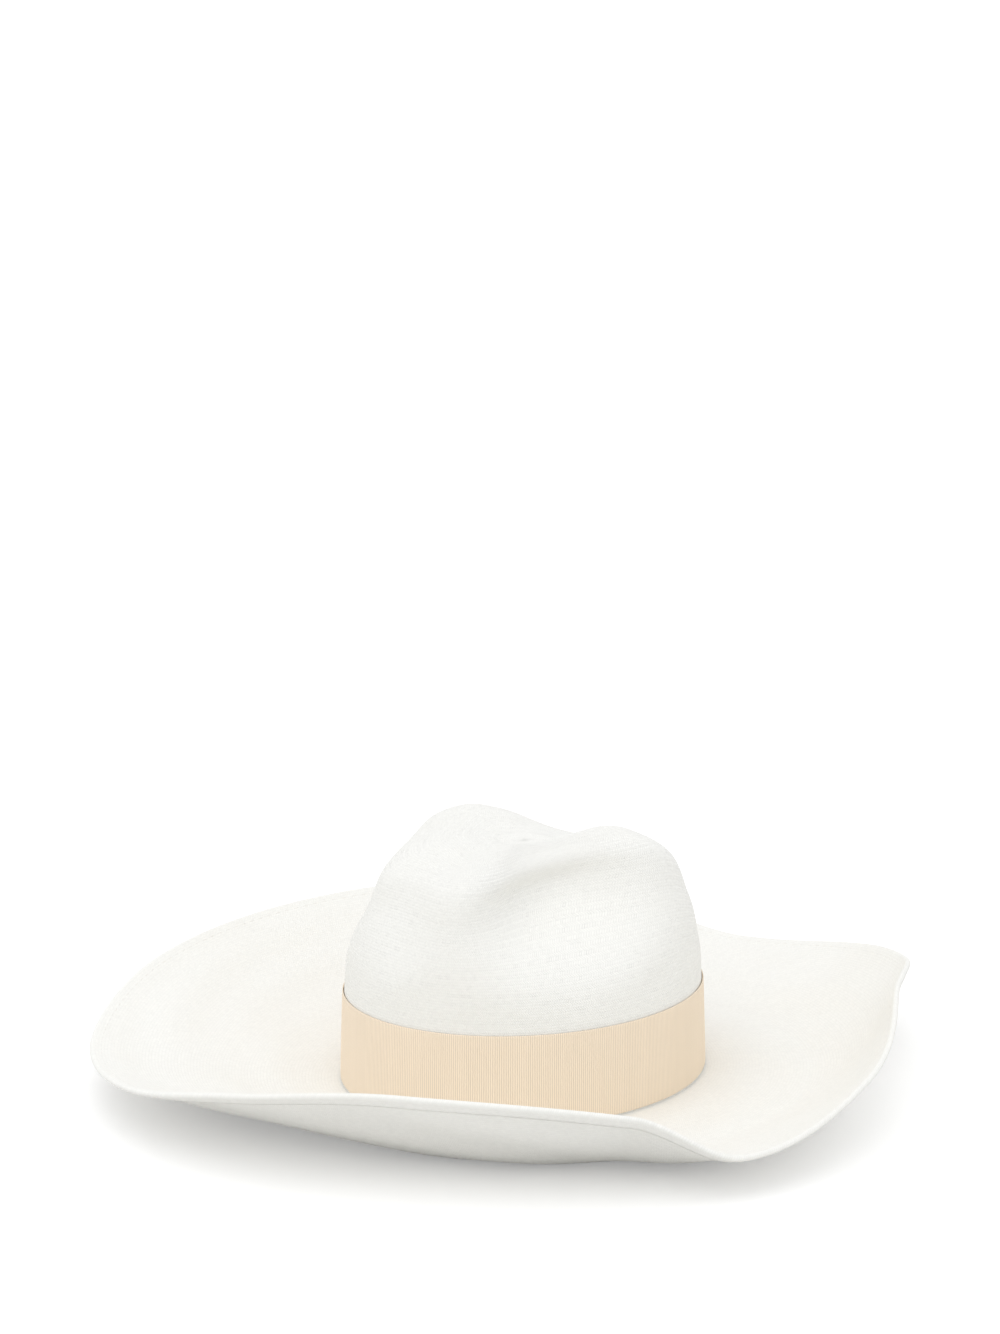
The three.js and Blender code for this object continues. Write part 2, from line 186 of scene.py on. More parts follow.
def round_curve(stations, direction):
    """Smooth curve through (direction, value) stations that closes on itself after a turn."""
    angle, value = np.array(stations, float).T
    first = angle[0]
    angle = np.concatenate([angle[-2:] - 360, angle, angle[:3] + 360])
    value = np.concatenate([value[-2:], value, value[:3]])
    x = (direction - first) % 360 + first
    i = np.searchsorted(angle, x, side="right") - 1
    span = angle[i + 1] - angle[i]
    slope = lambda k: span * (value[k + 1] - value[k - 1]) / (angle[k + 1] - angle[k - 1])
    return hermite((x - angle[i]) / span, value[i], slope(i), value[i + 1], slope(i + 1))


# ---- the shape of the straw, at mid-thickness --------------------------------
def head_point(direction):
    """Points of the head oval whose outward normals have these directions, and the normals."""
    c, s = np.cos(np.radians(direction)), np.sin(np.radians(direction))
    reach = np.hypot(HEAD_HALF_WIDTH * c, HEAD_HALF_LENGTH * s)
    return HEAD_HALF_WIDTH**2 * c / reach, HEAD_HALF_LENGTH**2 * s / reach, c, s


def open_crown(rise):
    """The crown before it is creased: share of the head oval, and height."""
    stations = np.array(CROWN_PROFILE, float)
    last = len(stations) - 1
    place = np.clip(rise, 0, 1) * last
    i = np.minimum(place.astype(int), last - 1)
    t = (place - i)[..., None]
    slope = lambda k: (stations[np.minimum(k + 1, last)] - stations[np.maximum(k - 1, 0)]) / 2
    return np.moveaxis(hermite(t, stations[i], slope(i), stations[i + 1], slope(i + 1)), -1, 0)


def crown_point(direction, rise):
    """rise runs from 0 at the crown base to 1 at the middle of the top."""
    head_x, head_y, _, _ = head_point(direction)
    share, z = open_crown(rise)
    x, y = head_x * share, head_y * share
    push_x, push_y = 0, 0
    for pinch in PINCHES:
        middle = pinch["turn"] - 90
        lift = z - PINCH_HEIGHT
        depth = (pinch["depth"] * bell(turn_between(direction, middle) / pinch["spread"], 2.1)
                 * bell(lift / np.where(lift > 0, PINCH_ABOVE, PINCH_BELOW), 2.2)
                 * smooth(np.hypot(x, y), 5, 55))
        push_x = push_x - math.cos(math.radians(middle)) * depth
        push_y = push_y - math.sin(math.radians(middle)) * depth
    fall = (FRONT_FALL * smooth(-y, -PEAK_Y, -FRONT_FALL_END)
            + BACK_FALL * smooth(y, PEAK_Y, BACK_FALL_END))
    z = z - fall * smooth(z, CROWN_TOP_FROM, CROWN_TOP_TO)
    x, y = x + push_x, y + push_y
    top = smooth(rise, 0.6, 0.8)
    length = (smooth(y, DENT_FRONT - 20, DENT_FRONT + 30)
              * (1 - smooth(y, DENT_BACK - 34, DENT_BACK + 20)))
    z = z - DENT_DEPTH * bell(x / DENT_HALF_WIDTH, 2.8) * length * top
    z = z - (GROOVE_DEPTH * bell(x / GROOVE_HALF_WIDTH, 2) * smooth(y, -75, -45)
             * (1 - length) * smooth(-y, -20, 0) * top)
    return np.stack([x, y, z + STRAW / 2], -1)


def brim_line(direction, distance):
    """Points of the brim at distances along the straw from the crown base, one row for each
    distance, with the unit vectors out of its upper face and away from the crown."""
    step = 0.25
    ends = np.arange(0, BRIM_WIDTH + 2 * step, step)[:, None]
    flat = BRIM_FLAT + BRIM_FLAT_SWING * np.cos(np.radians(direction - BRIM_FLAT_SIDE))
    curl = np.radians(round_curve(BRIM_CURL, direction))

    def slope_at(s):
        return curl * np.clip((s - flat) / (BRIM_WIDTH - flat), 0, 1) ** BRIM_CURL_POWER

    def run(part):
        sums = np.cumsum(step * part(slope_at(ends[:-1] + step / 2)), axis=0)
        return np.concatenate([np.zeros((1, len(direction))), sums])

    distance = np.atleast_1d(np.asarray(distance, float))
    i = np.minimum((distance / step).astype(int), len(ends) - 2)
    t = (distance / step - i)[:, None]
    out, up = ((1 - t) * table[i] + t * table[i + 1] for table in (run(np.cos), run(np.sin)))
    x, y, c, s = head_point(direction)
    slope = slope_at(distance[:, None])
    point = np.stack([x + c * out, y + s * out, up + STRAW / 2], -1)
    above = np.stack([-c * np.sin(slope), -s * np.sin(slope), np.cos(slope)], -1)
    along = np.stack([c * np.cos(slope), s * np.cos(slope), np.sin(slope)], -1)
    return point, above, along


def wall_point(direction, z, out):
    """Points beside the crown's wall: out is measured from the middle of the straw."""
    x, y, c, s = head_point(direction)
    shares, heights = np.array(CROWN_PROFILE).T
    share = np.interp(z - STRAW / 2, heights, shares)
    return np.stack(np.broadcast_arrays(x * share + c * out, y * share + s * out, z), -1)


def wall_ways(direction):
    """Unit vectors out from the crown's wall and along it."""
    x = np.radians(direction)
    away = np.stack([np.cos(x), np.sin(x), 0 * x], -1)
    along = np.stack([-np.sin(x), np.cos(x), 0 * x], -1)
    return away, along


def around(count):
    return np.arange(count) * 360 / count


def unevenness(direction, distance, size):
    """Slow waves over the direction and the distance from the crown's middle."""
    draw = np.random.default_rng(7)
    waves = 14
    total = 0
    for _ in range(waves):
        turns = draw.integers(2, 15)
        length = draw.uniform(28, 80)
        phase = draw.uniform(0, 2 * math.pi)
        along = 2 * math.pi * distance / length
        total = total + np.cos(np.radians(direction) * turns + along + phase)
    return size * total / math.sqrt(waves)


# ---- meshes ------------------------------------------------------------------
def bridge(a, n, b, m):
    """Faces between ring a of n points and ring b of m points: corners, shares of a turn, rings."""
    if n > 1 and m > 1 and n == 2 * m:
        faces = []
        for corners, shares, rings in bridge(b, m, a, n):
            faces.append((corners[:, ::-1], shares[:, ::-1], [1 - ring for ring in rings[::-1]]))
        return faces
    if m == 1:
        j = np.arange(n)
        corners = [a + j, np.full(n, b), a + (j + 1) % n]
        return [(np.stack(corners, 1), np.stack([j, j + 0.5, j + 1], 1) / n, [0, 1, 0])]
    if n == 1:
        j = np.arange(m)
        corners = [np.full(m, a), b + j, b + (j + 1) % m]
        return [(np.stack(corners, 1), np.stack([j + 0.5, j, j + 1], 1) / m, [0, 1, 1])]
    j = np.arange(n)
    k = (j + 1) % n
    if n == m:
        corners = np.stack([a + j, b + j, b + k, a + k], 1)
        return [(corners, np.stack([j, j, j + 1, j + 1], 1) / n, [0, 1, 1, 0])]
    near, half, far = b + 2 * j, b + 2 * j + 1, b + (2 * j + 2) % m
    return [
        (np.stack([a + j, near, half], 1), np.stack([j, j, j + 0.5], 1) / n, [0, 1, 1]),
        (np.stack([a + j, half, a + k], 1), np.stack([j, j + 0.5, j + 1], 1) / n, [0, 1, 0]),
        (np.stack([a + k, half, far], 1), np.stack([j + 1, j + 0.5, j + 1], 1) / n, [0, 1, 1]),
    ]


def loft(name, rings, marks, pattern, closed=False):
    """A mesh through rings of points in millimetres, the last joined to the first where closed.
    marks gives a number for each ring, and pattern(share, mark, strip) the pattern coordinates
    of a corner from its share of a turn, its ring's mark and the middle of the rings' marks."""
    starts = np.cumsum([0] + [len(ring) for ring in rings])
    points = np.concatenate(rings)
    corners, places, sizes = [], [], []
    for i in range(len(rings) if closed else len(rings) - 1):
        k = (i + 1) % len(rings)
        mark = (marks[i], marks[i + 1] if i + 1 < len(marks) else marks[k])
        for faces, shares, ends in bridge(starts[i], len(rings[i]), starts[k], len(rings[k])):
            corners.append(faces.ravel())
            ring_marks = np.broadcast_to(np.array([mark[end] for end in ends]), shares.shape)
            places.append(pattern(shares.ravel(), ring_marks.ravel(), sum(mark) / 2))
            sizes.append(np.full(len(faces), faces.shape[1]))
    corners, sizes, places = (np.concatenate(parts) for parts in (corners, sizes, places))
    return mesh_object(name, points, corners, sizes, places)


def mesh_object(name, points, corners, sizes, places=None):
    """A smooth mesh of faces with the given numbers of corners, and its pattern coordinates."""
    mesh = bpy.data.meshes.new(name)
    mesh.vertices.add(len(points))
    mesh.vertices.foreach_set("co", (np.asarray(points) * MM + np.array(CENTRE)).ravel())
    mesh.loops.add(len(corners))
    mesh.loops.foreach_set("vertex_index", corners.astype(np.int32))
    mesh.polygons.add(len(sizes))
    mesh.polygons.foreach_set("loop_start", (np.cumsum(sizes) - sizes).astype(np.int32))
    mesh.polygons.foreach_set("use_smooth", np.ones(len(sizes), bool))
    if places is not None:
        mesh.uv_layers.new(name="weave").data.foreach_set("uv", places.ravel().astype(np.float32))
    mesh.update(calc_edges=True)
    piece = bpy.data.objects.new(name, mesh)
    bpy.context.scene.collection.objects.link(piece)
    return piece


def finish_piece(piece, material, node):
    """Gives a piece its material and its place on the body, and hides the CAD node that it stands
    for.
    """
    piece.data.materials.append(material)
    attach(piece, "root")
    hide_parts(node)
    return piece


def skins(middle, half):
    """The upper and lower faces of a sheet whose mid-surface is a grid of rows round the hat."""
    along = np.concatenate([middle[1:2] - middle[:1], middle[2:] - middle[:-2],
                            middle[-1:] - middle[-2:-1]])
    across = np.roll(middle, -1, axis=1) - np.roll(middle, 1, axis=1)
    normal = unit(np.cross(along, across))
    return middle + normal * half, middle - normal * half


# ---- straw hood --------------------------------------------------------------
GIRTH = math.pi * (HEAD_HALF_WIDTH + HEAD_HALF_LENGTH)
MEAN_HALF = (HEAD_HALF_WIDTH + HEAD_HALF_LENGTH) / 2


def crown_rises():
    """Rises, and their distances along the open crown from the middle of its top."""
    rise = np.linspace(1, 0, 4001)
    share, z = open_crown(rise)
    steps = np.hypot(np.diff(share * MEAN_HALF), np.diff(z))
    return rise, np.concatenate([[0], np.cumsum(steps)]), z


RISES, RISE_DISTANCES, RISE_HEIGHTS = crown_rises()
CROWN_LINE = RISE_DISTANCES[-1]       # from the middle of the top to the brim
SPLIT_LINE = np.interp(-SPLIT_HEIGHT, -RISE_HEIGHTS, RISE_DISTANCES)


def weave(share, distance, strip):
    """Pattern coordinates: straws along a row, and rows. Straws are added ring by ring."""
    lap = (np.floor(strip / WEAVE_ROW / WEAVE_LAP) + 0.5) * WEAVE_ROW * WEAVE_LAP
    if lap > CROWN_LINE:
        girth = GIRTH + 2 * math.pi * (lap - CROWN_LINE)
    else:
        girth = 2 * math.pi * MEAN_HALF * open_crown(np.interp(lap, RISE_DISTANCES, RISES))[0]
    straws = max(8, 2 * round(float(girth) / WEAVE_STEP / 2))
    return np.stack([share * straws, distance / WEAVE_ROW], -1)


def lap_ridge(distance):
    """The straw is a little thicker where new straws are laid in."""
    phase = (distance / WEAVE_ROW / WEAVE_LAP) % 1
    return LAP_RISE * bell(np.minimum(phase, 1 - phase) / 0.07, 2)


def straw_crown():
    """The crown from the middle of its top to a little above the brim, as a closed shell."""
    columns = 480
    distance = np.concatenate([[0.01], np.arange(1, SPLIT_LINE, 1.02), [SPLIT_LINE]])
    direction = around(columns)[None, :]
    rise = np.interp(distance, RISE_DISTANCES, RISES)[:, None]
    middle = crown_point(direction + 0 * rise, rise + 0 * direction)
    fade = smooth(SPLIT_LINE - distance, 30, 45) * smooth(distance, 4, 20)
    upper, lower = skins(middle, 1)
    normal = (upper - lower) / 2
    sway = unevenness(direction, distance[:, None], CROWN_SWAY) * fade[:, None]
    half = STRAW / 2 + lap_ridge(distance)[:, None]
    upper = middle + normal * (sway + half)[..., None]
    lower = middle + normal * (sway - half)[..., None]

    def thinned(row, grid):
        """Fewer points in the short rings near the middle of the top."""
        keep = 1
        while distance[row] < 62 / keep and columns // keep > 30:
            keep *= 2
        return grid[row][::keep]

    outer = [thinned(row, upper) for row in range(1, len(distance))]
    inner_rows = [len(distance) - 1, *range(1, len(distance) - 1, 3)[::-1]]
    inner = [thinned(row, lower)[::2] for row in inner_rows]
    rings = [upper[0, :1], *outer, *inner, lower[0, :1]]
    marks = [0, *distance[1:], *distance[inner_rows], 0]
    return loft("straw_crown", rings, marks, weave)


def hem_gap(inset):
    """From the brim's mid-surface to the turned-under layer's, at a distance from the edge."""
    return np.interp(inset, [0, HEM_WIDTH], [2 * HEM_FOLD, STRAW + GAP])


def brim_sway(direction, distance):
    """Unevenness of the brim, which fades out towards the crown and the edge."""
    ease = smooth(distance, 8, 30) * smooth(BRIM_WIDTH - distance, -2, 12)
    return unevenness(direction, distance + CROWN_LINE, BRIM_SWAY) * ease


def straw_brim():
    """The crown's foot, the brim and its turned-under hem, as a closed shell."""
    columns = 600
    direction = around(columns)
    rows, marks = [], []
    for z in np.linspace(SPLIT_HEIGHT + STRAW / 2, BREAK_RADIUS + STRAW / 2, 8):
        rows.append(wall_point(direction, z, 0))
        marks.append(CROWN_LINE - z + STRAW / 2)
    wall = rows[-1]
    _, _, c, s = head_point(direction)
    for turn in np.radians([22, 45, 68, 90]):
        out = BREAK_RADIUS * (1 - math.cos(turn))
        level = np.full(columns, STRAW / 2 + BREAK_RADIUS * (1 - math.sin(turn)))
        rows.append(np.stack([wall[:, 0] + c * out, wall[:, 1] + s * out, level], -1))
        marks.append(CROWN_LINE - BREAK_RADIUS * (1 - turn / (math.pi / 2)))
    wall_rows = len(rows)
    insets = [HEM_WIDTH, HEM_WIDTH * 0.75, HEM_WIDTH / 2, HEM_WIDTH / 4]
    distance = np.concatenate([np.arange(BREAK_RADIUS + 1.2, EDGE - HEM_WIDTH - 0.8, 1.3),
                               [EDGE - inset for inset in insets], [EDGE]])
    point, above, along = brim_line(direction, distance)
    point = point + above * brim_sway(direction[None, :], distance[:, None])[..., None]
    rows.extend(point)
    marks.extend(CROWN_LINE + distance)
    for turn in np.radians(np.arange(20, 181, 20)):
        rows.append(point[-1] + along[-1] * HEM_FOLD * math.sin(turn)
                    + above[-1] * HEM_FOLD * (math.cos(turn) - 1))
        marks.append(CROWN_LINE + EDGE + HEM_FOLD * turn)
    for k, inset in enumerate(insets[::-1]):
        rows.append(point[-2 - k] - above[-2 - k] * hem_gap(inset))
        marks.append(CROWN_LINE + EDGE + HEM_FOLD * math.pi + inset)
    middle, marks = np.array(rows), np.array(marks)
    half = STRAW / 2 + lap_ridge(marks) * smooth(marks, CROWN_LINE + 6, CROWN_LINE + 12)
    upper, lower = skins(middle, half[:, None, None])
    lower[..., 2] = np.maximum(lower[..., 2], 0)
    # fewer points near the crown, and fewer rows under the brim
    count = len(marks)
    near_rows = wall_rows + int(np.searchsorted(distance, 45))
    under_rows = [i for i in range(count) if i < wall_rows or i % 2 == 0 or i > count - 20][::-1]
    thinned = lambda grid, i: grid[i][::2] if i < near_rows else grid[i]
    rings = [thinned(upper, i) for i in range(count)] + [thinned(lower, i) for i in under_rows]
    return loft("straw_brim", rings, [*marks, *marks[under_rows]], weave, closed=True)


# ---- threads and wire --------------------------------------------------------
def stitches(name, centre, along, away, length, radius):
    """Short bowed threads: each dips into the cloth at its ends and stands proud between them."""
    stations, sides = 9, 7
    share = np.linspace(-1, 1, stations)
    lift = radius * (1.15 * np.cos(share * math.pi / 2) ** 0.6 - 1) - STITCH_BED * radius
    thick = radius * (1 - 0.25 * share**4)
    turn = np.arange(sides) * 2 * math.pi / sides
    count = len(centre)
    side = unit(np.cross(along, away))
    spine = (centre[:, None] + along[:, None] * (share * length / 2)[None, :, None]
             + away[:, None] * lift[None, :, None])
    round_side = side[:, None, None] * np.cos(turn)[None, None, :, None]
    round_away = away[:, None, None] * np.sin(turn)[None, None, :, None]
    tube = spine[:, :, None] + (round_side + round_away) * thick[None, :, None, None]
    points = np.concatenate([tube.reshape(count, -1, 3), spine[:, [0, -1]]], axis=1)
    size = points.shape[1]
    faces = []
    for i in range(stations - 1):
        for j in range(sides):
            k = (j + 1) % sides
            faces.append([i * sides + j, i * sides + k, (i + 1) * sides + k, (i + 1) * sides + j])
    caps = []
    end = (stations - 1) * sides
    for j in range(sides):
        k = (j + 1) % sides
        caps.append([size - 2, k, j])
        caps.append([size - 1, end + j, end + k])
    shift = (np.arange(count) * size)[:, None, None]
    quads = (np.array(faces)[None] + shift).reshape(-1, 4)
    triangles = (np.array(caps)[None] + shift).reshape(-1, 3)
    corners = np.concatenate([quads.ravel(), triangles.ravel()])
    sizes = np.concatenate([np.full(len(quads), 4), np.full(len(triangles), 3)])
    return mesh_object(name, points.reshape(-1, 3), corners, sizes)


def evenly(points, pitch):
    """Places at equal steps of about the pitch along a closed line, as indices with fractions."""
    steps = np.linalg.norm(np.roll(points, -1, axis=0) - points, axis=1)
    run = np.concatenate([[0], np.cumsum(steps)])
    count = round(run[-1] / pitch)
    return np.interp(np.arange(count) * run[-1] / count, run, np.arange(len(run)))


def sample(grid, places):
    """Values of a closed line of points at such places."""
    i = places.astype(int) % len(grid)
    t = (places % 1)[:, None]
    return grid[i] * (1 - t) + grid[(i + 1) % len(grid)] * t


def hem_stitching():
    """Stitches round the brim, by turns on its upper face and under its hem."""
    points = 1440
    direction = around(points)
    seam = EDGE - HEM_STITCH_INSET
    point, above, _ = brim_line(direction, [seam])
    point, above = point[0], above[0]
    point = point + above * brim_sway(direction, seam)[:, None]
    along = unit(np.roll(point, -1, axis=0) - np.roll(point, 1, axis=0))
    places = evenly(point, HEM_STITCH_PITCH)
    top = [sample(grid, places) for grid in (point + above * STRAW / 2, along, above)]
    drop = hem_gap(HEM_STITCH_INSET) + STRAW / 2
    between = places + points / len(places) / 2
    below = [sample(grid, between) for grid in (point - above * drop, along, -above)]
    centre, along, away = (np.concatenate(pair) for pair in zip(top, below))
    return stitches("hem_stitches", centre, unit(along), unit(away), HEM_STITCH, HEM_THREAD)


def edge_wire():
    """The wire inside the fold of the hem."""
    sides = 8
    point, above, along = (grid[0] for grid in brim_line(around(720), [EDGE]))
    middle = point - above * HEM_FOLD
    rings = [middle + (along * math.cos(turn) - above * math.sin(turn)) * WIRE_RADIUS
             for turn in np.arange(sides) * 2 * math.pi / sides]
    return loft("edge_wire", rings, list(range(sides)),
                lambda share, mark, strip: np.stack([share, mark], -1), closed=True)


# ---- ribbons -----------------------------------------------------------------
def ribbon_section(width, thick, rib):
    """Outline of a ribbon across its width, for one place along it. rib is from 0 in a groove to 1
    on a rib: the two faces swell with it, and the woven edges are flat and a little scalloped."""
    edge = thick * 0.5
    across = np.array([0, 0.12, 0.45, 0.95, 1.3, width * 0.18, width * 0.33, width / 2])
    across = np.concatenate([across, width - across[-2::-1]])
    near_edge = np.minimum(across, width - across)
    swell = smooth(near_edge, 0.8, 1.3) * (rib - 0.5) * RIB_DEPTH
    body = edge * np.sqrt(np.clip(1 - (1 - np.clip(near_edge / 0.45, 0, 1)) ** 2, 0.05, 1))
    selvedge = -0.08 * smooth(0.9 - np.abs(near_edge - 0.7), 0.55, 0.85)
    scallop = np.where(near_edge < 0.05, (rib - 0.5) * 0.16, 0)
    scallop = scallop * np.where(across < width / 2, -1, 1)
    height = body + swell + selvedge
    front = np.stack([across + scallop, height], -1)
    back = np.stack([across + scallop, -height], -1)
    return np.concatenate([front, back[::-1]])


def rib_wave(distance):
    """From 0 in a groove to 1 on a rib."""
    return np.sqrt(np.abs(np.cos(distance * math.pi / RIB)))


def no_ribs(distance):
    """A smooth cotton, halfway between groove and rib everywhere."""
    return 0.5


def cloth_places(width):
    """Pattern coordinates of a ribbon: across its width and along its length, in millimetres."""
    section = ribbon_section(width, RIBBON, 0.5)[:, 0]
    section = np.append(section, section[0])

    def places(share, mark, strip):
        across = np.interp(share * (len(section) - 1), np.arange(len(section)), section)
        return np.stack([across, mark], -1)

    return places


def ribbon(name, width, thick, lengths, place, wave=rib_wave, closed=False):
    """A ribbon whose sections stand at lengths along it. place(i, across, out) gives the points of
    section i."""
    rings = []
    for i, length in enumerate(lengths):
        section = ribbon_section(width, thick, wave(length))
        rings.append(place(i, section[:, 0], section[:, 1]))
    pattern = cloth_places(width)
    if closed:
        step = lengths[1] - lengths[0]
        return loft(name, rings, [*lengths, lengths[-1] + step], pattern, closed=True)
    rings = [rings[0].mean(0)[None], *rings, rings[-1].mean(0)[None]]
    return loft(name, rings, [lengths[0], *lengths, lengths[-1]], pattern)


def hatband():
    fine = around(3600)
    line = wall_point(fine, (BAND_BOTTOM + BAND_TOP) / 2, BAND_OUT)
    steps = np.linalg.norm(np.roll(line, -1, axis=0) - line, axis=1)
    run = np.concatenate([[0], np.cumsum(steps)])
    count = round(run[-1] / RIB) * RIB_STEPS
    lengths = np.arange(count) * RIB / RIB_STEPS
    directions = np.interp(np.arange(count) / count * run[-1], run, np.append(fine, 360))

    def place(i, across, out):
        direction = np.full(len(across), directions[i])
        return wall_point(direction, BAND_BOTTOM + across, BAND_IN + RIBBON / 2 + out)

    return ribbon("hatband_ribbon", BAND_TOP - BAND_BOTTOM, RIBBON, lengths, place, closed=True)


# ---- bow ---------------------------------------------------------------------
SIDE_CURVE = 0.97 * HEAD_HALF_LENGTH**2 / HEAD_HALF_WIDTH   # radius of the crown's flat side
LOOP_WIDTH = BAND_TOP - 1 - BAND_BOTTOM
TAIL_WIDTH = BAND_TOP - 2 - BAND_BOTTOM


def bow_direction(distance):
    """Direction on the wall at a distance from the bow's knot, towards the back."""
    return BOW_SIDE - np.degrees(distance / SIDE_CURVE)


def rounded(route, closed):
    """The route with its corners cut off, again and again."""
    for _ in range(4):
        following = np.roll(route, -1, axis=0) if closed else route[1:]
        before = route if closed else route[:-1]
        cut = np.stack([before * 0.75 + following * 0.25, before * 0.25 + following * 0.75], 1)
        cut = cut.reshape(-1, 2)
        route = cut if closed else np.concatenate([route[:1], cut, route[-1:]])
    return route


def along_route(route, closed):
    """Places at equal small steps along a flat route, their unit normals and their lengths."""
    line = rounded(np.array(route, float), closed)
    if closed:
        line = np.concatenate([line, line[:1]])
    run = np.concatenate([[0], np.cumsum(np.linalg.norm(np.diff(line, axis=0), axis=1))])
    count = round(run[-1] / RIB) * RIB_STEPS
    stops = np.arange(count if closed else count + 1) * run[-1] / count
    place = np.stack([np.interp(stops, run, line[:, k]) for k in range(2)], -1)
    if closed:
        tangent = unit(np.roll(place, -1, axis=0) - np.roll(place, 1, axis=0))
    else:
        tangent = unit(np.gradient(place, axis=0))
    normal = np.stack([-tangent[:, 1], tangent[:, 0]], -1)
    return place, normal, stops


def loop_route(side):
    """One loop of the bow, seen from above: distance from the knot, and distance out."""
    near = LOOP_IN + BOW_RIBBON / 2
    full = near + LOOP_FULL + BOW_RIBBON
    tight = near + LOOP_TIGHT + BOW_RIBBON
    end = [(BOW_LOOP - 4, near), (BOW_LOOP, near), (BOW_LOOP, full), (BOW_LOOP - 5, full)]
    outer = [(BOW_LOOP * 0.7, full + 0.3), (BOW_LOOP * 0.4, tight + (full - tight) * 0.7),
             (KNOT_WIDTH / 2, tight), (1.2, tight)]
    return [(s * side, out) for s, out in [(1.2, near), (BOW_LOOP / 2, near), *end, *outer]]


def bow_loop(name, side):
    """A flat loop of ribbon that is fullest at the middle of its height."""
    place, normal, lengths = along_route(loop_route(side), closed=True)
    near = LOOP_IN + BOW_RIBBON / 2

    def section(i, across, out):
        tall = (across / LOOP_WIDTH * 2 - 1) ** 2
        stand = near + (place[i, 1] - near) * (1 - LOOP_PINCH * tall) + normal[i, 1] * out
        distance = place[i, 0] * (1 - 0.012 * tall) + normal[i, 0] * out
        return wall_point(bow_direction(distance), BAND_BOTTOM + across, stand)

    return ribbon(name, LOOP_WIDTH, BOW_RIBBON, lengths, section, closed=True)


def bow_tails():
    """One flat ribbon behind the loops. Each end has a notch cut into it."""
    place, _, lengths = along_route([(-BOW_TAIL, 0), (0, 0), (BOW_TAIL, 0)], closed=False)

    def section(i, across, out):
        distance = place[i, 0]
        notch = (TAIL_NOTCH * (1 - np.abs(across / TAIL_WIDTH * 2 - 1))
                 * smooth(abs(distance), BOW_TAIL - 16, BOW_TAIL))
        distance = distance - math.copysign(1, distance) * notch
        lift = TAIL_IN + BOW_RIBBON / 2 + out
        return wall_point(bow_direction(distance), BAND_BOTTOM + across, lift)

    return ribbon("bow_tails_ribbon", TAIL_WIDTH, BOW_RIBBON, lengths, section)


def bow_knot():
    """A short ribbon wrapped upright round the bow, drawn in at its middle into soft pleats."""
    low = BAND_BOTTOM - KNOT_PAST + BOW_RIBBON / 2
    high = BAND_TOP + KNOT_PAST - BOW_RIBBON / 2
    inside, outside = KNOT_IN + BOW_RIBBON / 2, KNOT_OUT + BOW_RIBBON / 2
    corners = [(low, inside), (high, inside), (high, outside), (low, outside)]
    # three points close together at each corner, so that it rounds off tightly
    route = []
    for i, corner in enumerate(np.array(corners)):
        before, after = np.array(corners[i - 1]), np.array(corners[(i + 1) % 4])
        route.extend([corner + unit(before - corner), corner, corner + unit(after - corner)])
    place, normal, lengths = along_route(route, closed=True)
    height = high - low

    def section(i, across, out):
        z, stand = place[i]
        middle = 1 - ((z - low) / height * 2 - 1) ** 2
        share = across / KNOT_WIDTH * 2 - 1
        front = smooth(stand, inside + 1, outside - 0.3) * smooth(middle, 0.1, 0.6)
        pleat = KNOT_PLEAT * np.cos(share * math.pi * 2.5) * (1 - share**2) * front
        distance = share * KNOT_WIDTH / 2 * (1 - KNOT_DRAWN_IN * middle)
        return wall_point(bow_direction(distance), z + normal[i, 0] * out,
                          stand + normal[i, 1] * out + pleat)

    return ribbon("bow_knot_ribbon", KNOT_WIDTH, BOW_RIBBON, lengths, section, closed=True)


def bow_tack(name, distance):
    """Three short threads side by side that hold the end of a tail to the crown."""
    heights = BAND_TOP - TACK_FROM_TOP + np.array([-1, 0, 1]) * TACK_SPACING
    direction = np.full(3, bow_direction(distance))
    away, along = wall_ways(direction)
    centre = wall_point(direction, heights, TAIL_IN + BOW_RIBBON)
    return stitches(name, centre, along, away, TACK_STITCH, TACK_THREAD)


# ---- inside the crown --------------------------------------------------------
def sweatband():
    """A cotton band with a folded, stitched lower edge and a narrow turned upper edge."""
    z = np.concatenate([SWEAT_BOTTOM + np.array([0, 0.25, 0.8, 1.6, 2.4, 2.7, 3, 3.3, 3.6, 4.6]),
                        np.linspace(8, SWEAT_TOP - 6, 9),
                        SWEAT_TOP - np.array([4, 3, 2.8, 2.4, 1.2, 0.5, 0.15, 0])])
    from_edge = np.minimum(z - SWEAT_BOTTOM, SWEAT_TOP - z)
    edge = np.sqrt(np.clip(1 - (1 - np.clip(from_edge / 0.5, 0, 1)) ** 2, 0.08, 1))
    body = SWEAT / 2 * edge
    seam = -0.16 * bell((z - SWEAT_BOTTOM - SWEAT_SEAM) / 0.45, 2)
    hem = 0.1 * smooth(z, SWEAT_TOP - 2.9, SWEAT_TOP - 2.5)
    middle = (SWEAT_IN + SWEAT_OUT) / 2
    direction = around(360)
    wave = np.abs(unevenness(direction, 40, 0.12))
    inner = middle - (body + seam + hem)
    inside = [wall_point(direction, height, place - wave * smooth(height, 8, SWEAT_TOP))
              for height, place in zip(z, inner)]
    outside = [wall_point(direction, height, middle + half) for height, half in zip(z, body)]
    return loft("sweatband_webbing", [*inside, *outside[::-1]], [*z, *z[::-1]],
                lambda share, mark, strip: np.stack([mark, share * round(GIRTH)], -1), closed=True)


def sweatband_stitching():
    """Stitches round the inside, a little above the sweatband's lower edge."""
    points = 1440
    fine = around(points)
    line = wall_point(fine, SWEAT_BOTTOM + SWEAT_SEAM, SWEAT_IN)
    places = evenly(line, SWEAT_STITCH_PITCH)
    away, along = wall_ways(np.interp(places, np.arange(points + 1), np.append(fine, 360)))
    return stitches("sweatband_stitches", sample(line, places), along, -away, SWEAT_STITCH,
                    SWEAT_THREAD)


